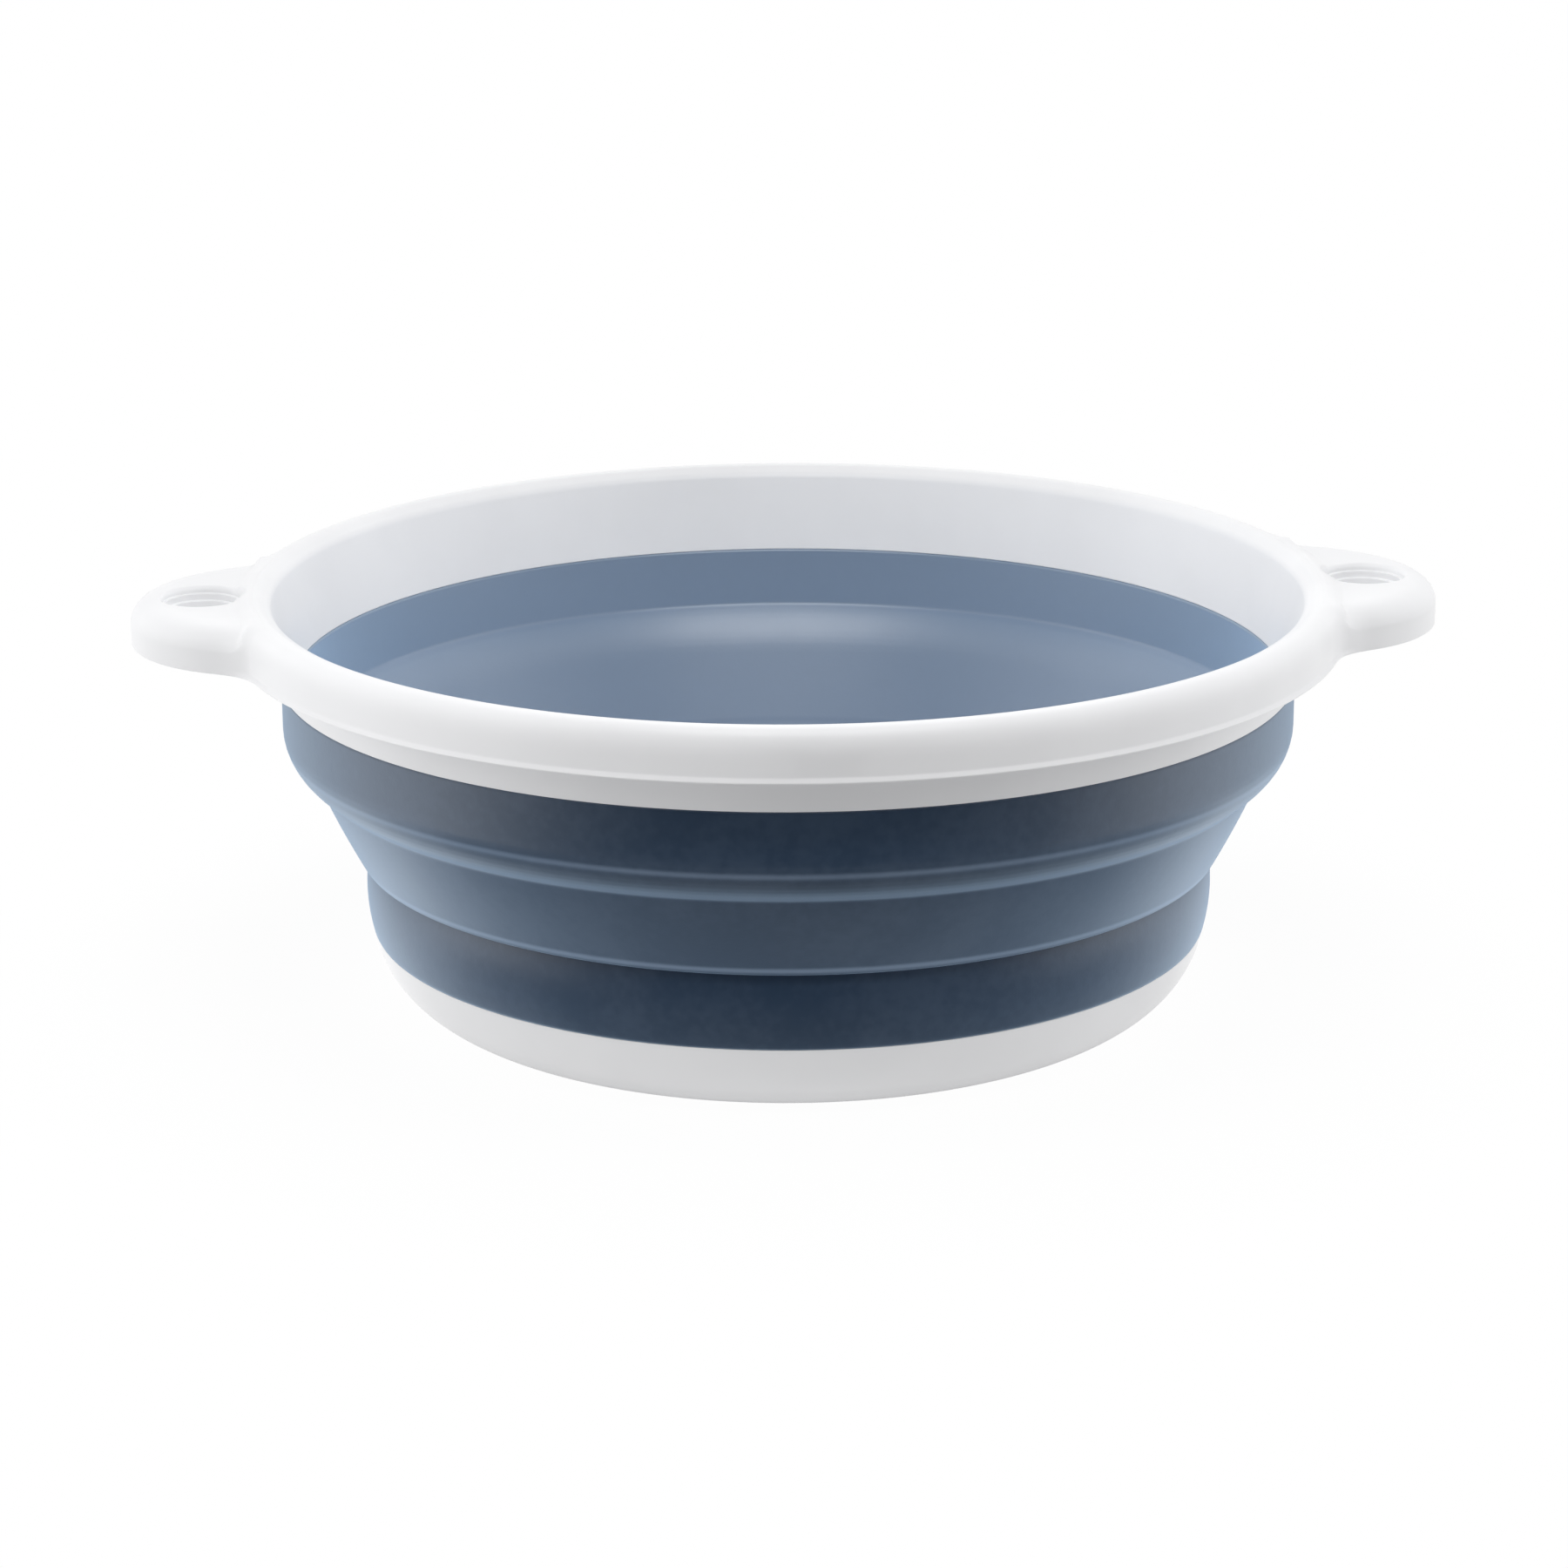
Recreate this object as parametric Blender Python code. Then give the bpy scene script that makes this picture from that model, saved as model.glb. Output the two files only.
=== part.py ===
"""Collapsible round wash basin: a white plastic rim with two handles, a folding rubber wall and a white base.

The rubber wall is one moulding on the real basin. It is built here in the three zones that move apart:
a band that stays with the rim, a cone that flips inside out, and a band that stays with the base.
Metres, +Z up. The origin is on the floor under the middle of the base, and the handles lie along X.
"""

import math

import bmesh
import bpy
import numpy as np

# Heights of the zones, stacked from the floor up
BASE_HEIGHT = 0.0215
LOWER_BAND_HEIGHT = 0.0225
CONE_HEIGHT = 0.0280
UPPER_BAND_HEIGHT = 0.0232
RIM_HEIGHT = 0.0263

# Outside radius of the base at its seam, and how far each ring stands in or out from the one under it
BASE_RADIUS = 0.1205
FOOT_INSET = 0.0172
LOWER_BAND_FLARE = 0.0018
CONE_FLARE = 0.0166
CURL_WIDTH = 0.0061
CREST_OUT = 0.0055
ROLL_WIDTH = 0.0075

# Clearance between pieces that touch on the real basin
SEAM_GAP = 0.0003

# Base shell
BASE_BULGE = 0.0038
BASE_WALL = 0.0033
FLOOR_THICKNESS = 0.0026
FOOT_RING_WIDTH = 0.0080
FOOT_RING_DEPTH = 0.0012

# Rubber wall
RUBBER_WALL = 0.0030
LOWER_BAND_BULGE = 0.0006
SHOULDER = 0.0011
CONE_BULGE = 0.0006
CONE_STEP = 0.0006
CONE_TUCK = 0.0013
UPPER_CURVE_HEIGHT = 0.0148
UPPER_INNER_CREASE = 0.0058
CREASE_LEAN_SHARE = 0.62
TONGUE_LENGTH = 0.0042
TONGUE_THICKNESS = 0.0012

# Rim section
SKIRT_WALL = 0.0041
SKIRT_LEAN = 0.0024
PLASTIC_WALL = 0.0024
ROLL_DROP = 0.0147
ROLL_OUTER_DEPTH = 0.0095
ROLL_INNER_WIDTH = 0.0034
ROLL_INNER_DEPTH = 0.0036
LIP_TUCK = 0.0008

# Handles, pulled out of the rim on both sides along X
HANDLE_SET_BACK = 0.0138
HANDLE_RADIUS = 0.0425
HANDLE_FILLET = 0.0045
HANDLE_DROP = 0.0025
HANDLE_EDGE = 0.0052
HANDLE_DRAFT = 0.0012
HANDLE_SHOULDER = 0.0048
HANDLE_BLEND_IN = 0.0065

# Hanging hole in each handle, stepped inside a sleeve
HOLE_INSET = 0.0202
HOLE_RADIUS = 0.0112
HOLE_SOFT_EDGE = 0.0009
LEDGE_WIDTH = 0.0008
LEDGE_DEPTH = 0.0019
SLEEVE_WALL = 0.0018
SLEEVE_SHORT = 0.0012
CUT_OVERRUN = 0.0040

# Mesh fineness, in counts
BAND_STEPS = 60
HANDLE_STEPS = 15
FREE_STEPS = 12
CURVE_STEPS = 5
ROLL_STEPS = 3
HOLE_STEPS = 28
OUTLINE_SAMPLES = 400
HALVINGS = 40
SHARP_ANGLE = math.radians(32)
WELD = 0.000002

# Levels and radii that follow from the sizes above
LOWER_FOLD_LEVEL = BASE_HEIGHT + LOWER_BAND_HEIGHT
UPPER_FOLD_LEVEL = LOWER_FOLD_LEVEL + CONE_HEIGHT
RIM_SEAM_LEVEL = UPPER_FOLD_LEVEL + UPPER_BAND_HEIGHT
CREST_LEVEL = RIM_SEAM_LEVEL + RIM_HEIGHT
LIP_LEVEL = CREST_LEVEL - ROLL_DROP
HANDLE_LEVEL = CREST_LEVEL - HANDLE_DROP
FLOOR_LEVEL = FOOT_RING_DEPTH + FLOOR_THICKNESS
FOOT_RADIUS = BASE_RADIUS - FOOT_INSET
LOWER_FOLD_RADIUS = BASE_RADIUS + LOWER_BAND_FLARE
UPPER_FOLD_RADIUS = LOWER_FOLD_RADIUS + CONE_FLARE
SKIRT_RADIUS = UPPER_FOLD_RADIUS + CURL_WIDTH
CREST_RADIUS = SKIRT_RADIUS + CREST_OUT
ROLL_RADIUS = CREST_RADIUS + ROLL_WIDTH
CONE_TOP_RADIUS = UPPER_FOLD_RADIUS - CONE_TUCK
CONE_FOOT_RADIUS = LOWER_FOLD_RADIUS + CONE_STEP
HANDLE_CENTRE = ROLL_RADIUS - HANDLE_SET_BACK
HOLE_FROM_AXIS = HANDLE_CENTRE + HANDLE_RADIUS - HOLE_INSET
HALF_GAP = SEAM_GAP / 2

WHITE = (0.86, 0.87, 0.88)
BLUE_GREY = (0.130, 0.178, 0.255)


def plastic(name, colour, roughness):
    """A plain moulded material."""
    material = bpy.data.materials.new(name)
    material.use_nodes = True
    shader = material.node_tree.nodes["Principled BSDF"]
    shader.inputs["Base Color"].default_value = (*colour, 1)
    shader.inputs["Roughness"].default_value = roughness
    shader.inputs["Metallic"].default_value = 0
    material.diffuse_color = (*colour, 1)
    return material


def arc_circle(start, end, bulge):
    """Centre and radius of the arc from start to end that bulges outward by the given height."""
    chord = math.hypot(end[0] - start[0], end[1] - start[1])
    radius = (chord * chord / 4 + bulge * bulge) / (2 * bulge)
    across = ((end[1] - start[1]) / chord, (start[0] - end[0]) / chord)
    inset = radius - bulge
    centre = ((start[0] + end[0]) / 2 - across[0] * inset, (start[1] + end[1]) / 2 - across[1] * inset)
    return centre, radius


def arc_points(centre, radius, start_angle, end_angle, steps):
    """Points on a circle, both ends included."""
    angles = [start_angle + (end_angle - start_angle) * i / steps for i in range(steps + 1)]
    return [(centre[0] + radius * math.cos(a), centre[1] + radius * math.sin(a)) for a in angles]


def bulging_line(start, end, bulge, steps):
    """Points along the arc from start to end."""
    centre, radius = arc_circle(start, end, bulge)
    angles = [math.atan2(p[1] - centre[1], p[0] - centre[0]) for p in (start, end)]
    return arc_points(centre, radius, angles[0], angles[1], steps)


def base_circle():
    """Centre and radius of the curved side of the base."""
    return arc_circle((FOOT_RADIUS, 0), (BASE_RADIUS, BASE_HEIGHT), BASE_BULGE)


def base_radius_at(level, depth):
    """Radius of the base's side at a level, at a depth under its outer skin."""
    centre, radius = base_circle()
    return centre[0] + math.sqrt((radius - depth) ** 2 - (level - centre[1]) ** 2)


def inner_wall_radius(level):
    """Radius of the rim's inner wall, which leans out from the seam to the crest."""
    foot = SKIRT_RADIUS - SKIRT_WALL
    head = CREST_RADIUS - ROLL_INNER_WIDTH
    rise = RIM_HEIGHT - ROLL_INNER_DEPTH
    return foot + (head - foot) * (level - RIM_SEAM_LEVEL) / rise


def skirt_radius(level):
    """Radius of the skirt's outer face, which leans out from the seam to the lip."""
    return SKIRT_RADIUS + SKIRT_LEAN * (level - RIM_SEAM_LEVEL) / (LIP_LEVEL - RIM_SEAM_LEVEL)


def rim_tongue_radius(level):
    """Middle of the rim's wall, where the rubber wall's upper tongue is moulded in."""
    return (inner_wall_radius(level) + skirt_radius(level)) / 2


def base_tongue_radius(level):
    """Middle of the base's wall, where the rubber wall's lower tongue is moulded in."""
    return base_radius_at(level, BASE_WALL / 2)


def tongue(middle, root, tip, spare):
    """The four corners of a tongue, or of its groove where spare is the clearance around it."""
    half = TONGUE_THICKNESS / 2 + spare
    tip = tip + math.copysign(spare, tip - root)
    return [
        (middle(root) - half, root),
        (middle(tip) - half, tip),
        (middle(tip) + half, tip),
        (middle(root) + half, root),
    ]


def base_outline():
    """Base shell from the axis underneath, round the foot ring and side, to the axis on the floor inside."""
    centre, radius = base_circle()
    side = bulging_line((FOOT_RADIUS, 0), (BASE_RADIUS, BASE_HEIGHT), BASE_BULGE, CURVE_STEPS)
    inner_radius = radius - BASE_WALL
    top_angle = math.asin((BASE_HEIGHT - centre[1]) / inner_radius)
    floor_angle = math.asin((FLOOR_LEVEL - centre[1]) / inner_radius)
    inside = arc_points(centre, inner_radius, top_angle, floor_angle, CURVE_STEPS)
    groove = tongue(base_tongue_radius, BASE_HEIGHT, BASE_HEIGHT - TONGUE_LENGTH, SEAM_GAP)
    ring_inside = FOOT_RADIUS - FOOT_RING_WIDTH
    under = [(0, FOOT_RING_DEPTH), (ring_inside - FOOT_RING_DEPTH, FOOT_RING_DEPTH), (ring_inside, 0)]
    return under + side + groove[::-1] + inside + [(0, FLOOR_LEVEL)]


def lower_band_outline():
    """Band of the wall that stands in the base, with its tongue and its shoulder under the fold."""
    bottom = BASE_HEIGHT + SEAM_GAP
    top = LOWER_FOLD_LEVEL - HALF_GAP
    outer = bulging_line(
        (BASE_RADIUS, bottom), (LOWER_FOLD_RADIUS, top - SHOULDER), LOWER_BAND_BULGE, CURVE_STEPS
    )
    shoulder = [(LOWER_FOLD_RADIUS - SHOULDER, top)]
    inner = [(LOWER_FOLD_RADIUS - RUBBER_WALL, top), (base_radius_at(BASE_HEIGHT, BASE_WALL), bottom)]
    slot = tongue(base_tongue_radius, bottom, BASE_HEIGHT - TONGUE_LENGTH, 0)
    return inner + slot + outer + shoulder


def cone_outline():
    """Middle cone of the wall, which flips inside out as the basin folds."""
    bottom = LOWER_FOLD_LEVEL + HALF_GAP
    top = UPPER_FOLD_LEVEL - HALF_GAP
    outer = bulging_line((CONE_FOOT_RADIUS, bottom), (CONE_TOP_RADIUS, top), CONE_BULGE, CURVE_STEPS)
    inner = [(radius - RUBBER_WALL, level) for radius, level in reversed(outer)]
    return outer + inner


def upper_band_outline():
    """Band of the wall that hangs from the rim: a straight skin that curls in to the fold, and its tongue."""
    bottom = UPPER_FOLD_LEVEL + HALF_GAP
    top = RIM_SEAM_LEVEL - SEAM_GAP
    curl = []
    for i in range(CURVE_STEPS + 2):
        angle = math.pi / 2 * i / (CURVE_STEPS + 1)
        radius = UPPER_FOLD_RADIUS + CURL_WIDTH * math.sin(angle)
        curl.append((radius, bottom + UPPER_CURVE_HEIGHT * (1 - math.cos(angle))))
    key = tongue(rim_tongue_radius, top, RIM_SEAM_LEVEL + TONGUE_LENGTH, 0)
    cone_inner = CONE_TOP_RADIUS - RUBBER_WALL
    crease = (cone_inner + UPPER_INNER_CREASE * CREASE_LEAN_SHARE, bottom + UPPER_INNER_CREASE)
    head = [(SKIRT_RADIUS, top)] + key[::-1] + [(inner_wall_radius(RIM_SEAM_LEVEL), top)]
    return curl + head + [crease, (cone_inner, bottom)]


def spun_mesh(outline, steps):
    """Bmesh of an outline of (radius, level) points turned once round Z, closed and facing out."""
    shape = bmesh.new()
    mark = shape.verts.layers.int.new("corner")
    corners = [shape.verts.new((radius, 0, level)) for radius, level in outline]
    for index, corner in enumerate(corners):
        corner[mark] = index
    edges = [shape.edges.new(pair) for pair in zip(corners, corners[1:])]
    if outline[0][0] > 0:
        edges.append(shape.edges.new((corners[-1], corners[0])))
    bmesh.ops.spin(
        shape,
        geom=corners + edges,
        axis=(0, 0, 1),
        cent=(0, 0, 0),
        angle=2 * math.pi,
        steps=steps,
        use_merge=True,
    )
    bmesh.ops.remove_doubles(shape, verts=shape.verts, dist=WELD)
    bmesh.ops.recalc_face_normals(shape, faces=shape.faces)
    return shape


def add_object(name, shape, material, parent):
    """Turns a bmesh into a named object, smooth where its faces nearly line up."""
    mesh = bpy.data.meshes.new(name)
    shape.to_mesh(mesh)
    shape.free()
    mesh.shade_smooth()
    mesh.set_sharp_from_angle(angle=SHARP_ANGLE)
    mesh.materials.append(material)
    thing = bpy.data.objects.new(name, mesh)
    bpy.context.scene.collection.objects.link(thing)
    place_under(thing, parent)
    return thing


def place_under(thing, parent):
    """Parents an object that is modelled in world space to an empty, and leaves it where it is."""
    thing.parent = parent
    thing.matrix_parent_inverse = parent.matrix_world.inverted()


def add_empty(name, level):
    """Empty on the basin's axis that carries one of the two moving groups."""
    empty = bpy.data.objects.new(name, None)
    empty.location = (0, 0, level)
    bpy.context.scene.collection.objects.link(empty)
    bpy.context.view_layer.update()
    return empty


def handle_outline(angles, inset):
    """Radius at each angle of the line that runs inset inside the rim's outer edge.

    That edge is the round rim and a round handle, merged by a fillet.
    """
    low = np.full(len(angles), CREST_RADIUS)
    high = np.full(len(angles), HANDLE_CENTRE + HANDLE_RADIUS + LIP_TUCK)
    for _ in range(HALVINGS):
        radius = (low + high) / 2
        to_rim = radius - ROLL_RADIUS
        across = np.hypot(radius * np.cos(angles) - HANDLE_CENTRE, radius * np.sin(angles))
        to_handle = across - HANDLE_RADIUS
        mix = np.clip(0.5 + (to_handle - to_rim) / (2 * HANDLE_FILLET), 0, 1)
        distance = to_handle * (1 - mix) + to_rim * mix - HANDLE_FILLET * mix * (1 - mix)
        low = np.where(distance < -inset, radius, low)
        high = np.where(distance < -inset, high, radius)
    return (low + high) / 2


def handle_span():
    """Angle from X at which the handle's fillet runs out into the round rim."""
    reach = HANDLE_RADIUS + HANDLE_FILLET
    squares = ROLL_RADIUS ** 2 + HANDLE_CENTRE ** 2 - reach ** 2
    return math.acos(squares / (2 * ROLL_RADIUS * HANDLE_CENTRE))


def rim_angles():
    """Angles of the rim's sections over a quarter turn: even along the handle's edge, then even to Y."""
    span = handle_span()
    dense = np.linspace(0, span, OUTLINE_SAMPLES)
    edge = handle_outline(dense, 0)
    run = np.hypot(np.diff(edge * np.cos(dense)), np.diff(edge * np.sin(dense)))
    length = np.concatenate([[0], np.cumsum(run)])
    near = np.interp(np.linspace(0, length[-1], HANDLE_STEPS + 1), length, dense)
    far = np.linspace(span, math.pi / 2, FREE_STEPS + 1)
    return np.concatenate([near, far[1:]])


def roll_curve(pull, handle_share, thickness):
    """Top and outer side of the roll, from the crest outward, thickness under its skin.

    Each point mixes a quarter ellipse, which is the plain roll, and a flat top with a rounded edge,
    which is the handle. pull is how far the outer edge is drawn out from the plain roll.
    """
    count = 2 * (ROLL_STEPS + 1)
    points = []
    for i in range(count):
        roll = roll_point(pull, thickness, math.pi / 2 * (1 - i / (count - 1)))
        if i <= ROLL_STEPS:
            flat = handle_shoulder(i / ROLL_STEPS, thickness)
        else:
            flat = handle_edge((i - ROLL_STEPS - 1) / ROLL_STEPS, pull, thickness)
        points.append(mixed(roll, flat, handle_share))
    return points


def handle_shoulder(share, thickness):
    """Point on the soft step from the crest down to the handle's flat top."""
    fall = (1 - math.cos(math.pi * share)) / 2
    return (CREST_RADIUS + HANDLE_SHOULDER * share, CREST_LEVEL - thickness - HANDLE_DROP * fall)


def handle_edge(share, pull, thickness):
    """Point on the rounded edge between the handle's flat top and its side."""
    turn = math.pi / 2 * (1 - share)
    middle = ROLL_RADIUS + pull - HANDLE_DRAFT - HANDLE_EDGE
    bend = HANDLE_EDGE - thickness
    return (middle + bend * math.cos(turn), HANDLE_LEVEL - HANDLE_EDGE + bend * math.sin(turn))


def roll_point(pull, thickness, turn):
    """Point on the plain roll's quarter ellipse, stretched outward by pull, thickness under its skin."""
    level = CREST_LEVEL - ROLL_OUTER_DEPTH + (ROLL_OUTER_DEPTH - thickness) * math.sin(turn)
    return (CREST_RADIUS + (ROLL_WIDTH - thickness + pull) * math.cos(turn), level)


def smooth_step(value):
    """0 to 1 with level ends."""
    value = min(max(value, 0), 1)
    return value * value * (3 - 2 * value)


def mixed(first, second, share):
    """Point between two points."""
    return (first[0] + (second[0] - first[0]) * share, first[1] + (second[1] - first[1]) * share)


def rim_outline(pull, hollow_pull):
    """Rim section: inner wall, crest, roll and lip, the hollow under the roll, and the grooved skirt.

    The pulls are how far the roll's outer skin and its hollow are drawn out into the handle.
    """
    handle_share = smooth_step(pull / HANDLE_BLEND_IN)
    inner_turns = [math.pi - math.pi / 2 * i / ROLL_STEPS for i in range(ROLL_STEPS)]
    inner = [
        (
            CREST_RADIUS + ROLL_INNER_WIDTH * math.cos(turn),
            CREST_LEVEL - ROLL_INNER_DEPTH + ROLL_INNER_DEPTH * math.sin(turn),
        )
        for turn in inner_turns
    ]
    outer = roll_curve(pull, handle_share, 0)
    hollow = roll_curve(hollow_pull, handle_share, PLASTIC_WALL)
    lip_out = ROLL_RADIUS - LIP_TUCK * (1 - handle_share)
    lip = [(lip_out + pull, LIP_LEVEL), (lip_out + hollow_pull - PLASTIC_WALL, LIP_LEVEL)]
    skirt_top = (skirt_radius(LIP_LEVEL), LIP_LEVEL)
    under_crest = (skirt_radius(CREST_LEVEL - ROLL_OUTER_DEPTH), CREST_LEVEL - ROLL_OUTER_DEPTH)
    groove = tongue(rim_tongue_radius, RIM_SEAM_LEVEL, RIM_SEAM_LEVEL + TONGUE_LENGTH, SEAM_GAP)
    skirt = [under_crest, skirt_top, (SKIRT_RADIUS, RIM_SEAM_LEVEL)]
    foot = [(inner_wall_radius(RIM_SEAM_LEVEL), RIM_SEAM_LEVEL)]
    return inner + outer + lip + hollow[::-1] + skirt + groove[::-1] + foot


def rim_shape():
    """Plain rim spun round Z, then drawn out at both sides into the handles."""
    quarter = rim_angles()
    steps = 4 * (len(quarter) - 1)
    shape = spun_mesh(rim_outline(0, 0), steps)
    pulls = handle_outline(quarter, 0) - ROLL_RADIUS
    hollow_pulls = handle_outline(quarter, PLASTIC_WALL) - (ROLL_RADIUS - PLASTIC_WALL)
    sections = [rim_outline(*pair) for pair in zip(pulls, hollow_pulls)]
    mark = shape.verts.layers.int["corner"]
    for vertex in shape.verts:
        turn = math.atan2(vertex.co.y, vertex.co.x)
        step = round(abs(turn) / (2 * math.pi) * steps)
        behind = step > steps // 4
        index = steps // 2 - step if behind else step
        angle = math.pi - quarter[index] if behind else quarter[index]
        radius, level = sections[index][vertex[mark]]
        vertex.co = (radius * math.cos(angle), math.copysign(radius * math.sin(angle), turn), level)
    bmesh.ops.recalc_face_normals(shape, faces=shape.faces)
    return shape


def hole_outline():
    """Stepped cutter of the hanging hole, from its wide mouth down to its narrow end."""
    top = HANDLE_LEVEL + HANDLE_DROP + CUT_OVERRUN
    mouth = HANDLE_LEVEL - HOLE_SOFT_EDGE
    points = [(0, top), (HOLE_RADIUS + HOLE_SOFT_EDGE, top), (HOLE_RADIUS + HOLE_SOFT_EDGE, HANDLE_LEVEL)]
    points.append((HOLE_RADIUS, mouth))
    radius, level = HOLE_RADIUS, HANDLE_LEVEL - LEDGE_DEPTH
    for _ in range(2):
        points += [(radius, level), (radius - LEDGE_WIDTH, level)]
        radius, level = radius - LEDGE_WIDTH, level - LEDGE_DEPTH
    end = LIP_LEVEL - CUT_OVERRUN
    return points + [(radius, end), (0, end)]


def sleeve_outline():
    """Sleeve around the hanging hole, from inside the handle's top plate down to just above the lip."""
    outside = HOLE_RADIUS + HOLE_SOFT_EDGE + SLEEVE_WALL
    top = HANDLE_LEVEL - HOLE_SOFT_EDGE
    bottom = LIP_LEVEL + SLEEVE_SHORT
    return [(0, top), (outside, top), (outside, bottom), (0, bottom)]


def add_tool(name, outline, parent):
    """Hidden pair of shapes, one on each handle's hole, that a boolean reads."""
    mesh = bpy.data.meshes.new(name)
    pair = bmesh.new()
    for side in (-1, 1):
        shape = spun_mesh(outline, HOLE_STEPS)
        bmesh.ops.translate(shape, verts=shape.verts, vec=(side * HOLE_FROM_AXIS, 0, 0))
        shape.to_mesh(mesh)
        shape.free()
        pair.from_mesh(mesh)
    pair.to_mesh(mesh)
    pair.free()
    tool = bpy.data.objects.new(name, mesh)
    tool.hide_render = True
    tool.display_type = "WIRE"
    bpy.context.scene.collection.objects.link(tool)
    place_under(tool, parent)
    return tool


def combine(target, tool, operation):
    """Adds a live boolean to a piece."""
    step = target.modifiers.new(tool.name, "BOOLEAN")
    step.operation = operation
    step.solver = "EXACT"
    step.object = tool


def build_rim(material, parent):
    """Rim with its two handles, one moulding, and the sleeved hanging holes."""
    rim = add_object("rim_with_handles", rim_shape(), material, parent)
    combine(rim, add_tool("hole_sleeves", sleeve_outline(), parent), "UNION")
    combine(rim, add_tool("hole_cutters", hole_outline(), parent), "DIFFERENCE")
    return rim


def clear_scene():
    """Empties the file's scene."""
    for thing in list(bpy.data.objects):
        bpy.data.objects.remove(thing)


def main():
    """Builds every piece of the basin."""
    clear_scene()
    white = plastic("white_plastic", WHITE, 0.3)
    rubber = plastic("blue_grey_rubber", BLUE_GREY, 0.5)
    standing = add_empty("standing_group", 0)
    sliding = add_empty("sliding_group", UPPER_FOLD_LEVEL)
    add_object("base_shell", spun_mesh(base_outline(), BAND_STEPS), white, standing)
    add_object("wall_lower_band", spun_mesh(lower_band_outline(), BAND_STEPS), rubber, standing)
    add_object("wall_folding_cone", spun_mesh(cone_outline(), BAND_STEPS), rubber, standing)
    add_object("wall_upper_band", spun_mesh(upper_band_outline(), BAND_STEPS), rubber, sliding)
    build_rim(white, sliding)


if __name__ == "__main__":
    main()
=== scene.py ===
"""Dresses the frame of a round collapsible wash basin: plastic rim with handles, folding rubber wall, plastic base.

Metres, +Z up, the basin's axis on Z and its handles along X. Each piece is a section turned round Z.
"""

import math

import bmesh
import bpy
import numpy as np
from mathutils import Matrix, Vector


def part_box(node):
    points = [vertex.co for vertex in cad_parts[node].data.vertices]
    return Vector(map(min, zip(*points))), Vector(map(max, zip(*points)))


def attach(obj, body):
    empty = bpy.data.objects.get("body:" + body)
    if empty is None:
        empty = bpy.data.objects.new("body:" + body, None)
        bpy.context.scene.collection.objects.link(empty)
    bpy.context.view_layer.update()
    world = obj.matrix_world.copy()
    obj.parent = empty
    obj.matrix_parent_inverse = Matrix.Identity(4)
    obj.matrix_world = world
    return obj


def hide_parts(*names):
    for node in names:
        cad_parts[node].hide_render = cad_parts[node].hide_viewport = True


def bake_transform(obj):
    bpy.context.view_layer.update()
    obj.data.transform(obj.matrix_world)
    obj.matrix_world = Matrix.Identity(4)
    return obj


bl_info = {
    "name": "Collapsible Wash Basin",
    "version": (1, 0, 0),
    "blender": (4, 5, 0),
    "location": "3D View > Sidebar > Basin",
    "description": "Models a wash basin with a moulded rim, a rubber wall that folds flat and a moulded base",
    "category": "Add Mesh",
}

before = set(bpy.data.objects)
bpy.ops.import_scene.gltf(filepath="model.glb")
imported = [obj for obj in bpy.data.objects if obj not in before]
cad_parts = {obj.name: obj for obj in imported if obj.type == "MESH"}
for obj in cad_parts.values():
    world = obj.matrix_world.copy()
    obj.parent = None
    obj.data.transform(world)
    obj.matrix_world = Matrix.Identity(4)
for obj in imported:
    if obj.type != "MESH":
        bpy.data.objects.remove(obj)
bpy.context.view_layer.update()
RIM_LOW, RIM_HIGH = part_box("rim_with_handles")
BAND_LOW, BAND_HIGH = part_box("wall_upper_band")
CONE_LOW, CONE_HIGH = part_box("wall_folding_cone")
_, BASE_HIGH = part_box("base_shell")

# Where the solids' zones meet, from the frame
CREST_LEVEL = RIM_HIGH.z
RIM_SEAM_LEVEL = RIM_LOW.z
UPPER_FOLD_LEVEL = (BAND_LOW.z + CONE_HIGH.z) / 2
LOWER_FOLD_LEVEL = CONE_LOW.z - (BAND_LOW.z - CONE_HIGH.z) / 2
BASE_SEAM_LEVEL = BASE_HIGH.z
ROLL_RADIUS = RIM_HIGH.y
HANDLE_REACH = RIM_HIGH.x
SKIRT_RADIUS = BAND_HIGH.x
BASE_RADIUS = BASE_HIGH.x

# Fineness of the meshes, in counts
TURN_STEPS = 300
HANDLE_STEPS = 60
FREE_STEPS = 42
ROLL_STEPS = 44
WALL_STEPS = 8
BEND_STEPS = 7
HALVINGS = 36
EVEN_PASSES = 12
OUTLINE_SAMPLES = 600
FLOOR_STEPS = 96

MERGE_DISTANCE = 0.000001
SKIN_TOLERANCE = 0.0004     # farthest that a point of the wall's inner skin lies from its path
LEVEL_FACE = 0.5            # least upright share of a face's normal for the face to count as level
LEDGE_ROUNDING = 0.35       # rounding of the ledges in the hanging hole, as a share of their width

# Surface noise: the values between which clouds fade in, how noises are shared out, and what they change
PLASTIC_CLOUDS = (0.35, 0.7)
RUBBER_CLOUDS = (0.38, 0.66)
CLOUD_PART, FLECK_PART = 0.6, 0.4
FLECKS_PER_CLOUD = 8
GRAIN_HEIGHT, FLECK_HEIGHT = 0.00003, 0.00002
BUMP_STRENGTH = 0.5
PLASTIC_UNEVENNESS, RUBBER_UNEVENNESS, GRAIN_UNEVENNESS = 0.10, 0.12, 0.04
# Painted highlight along the lower fold: how far its line rises, in reaches, and how much stronger it is than the
# upper one
LOWER_HIGHLIGHT_RISE, LOWER_HIGHLIGHT_STRENGTH = 0.8, 1.5

# The floor: distances from the axis where it turns white, and Y where it starts to be mirrored
FLOOR_FADE = (0.15, 0.25)
FLOOR_MIRRORED = (-0.12, 0.02)

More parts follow.
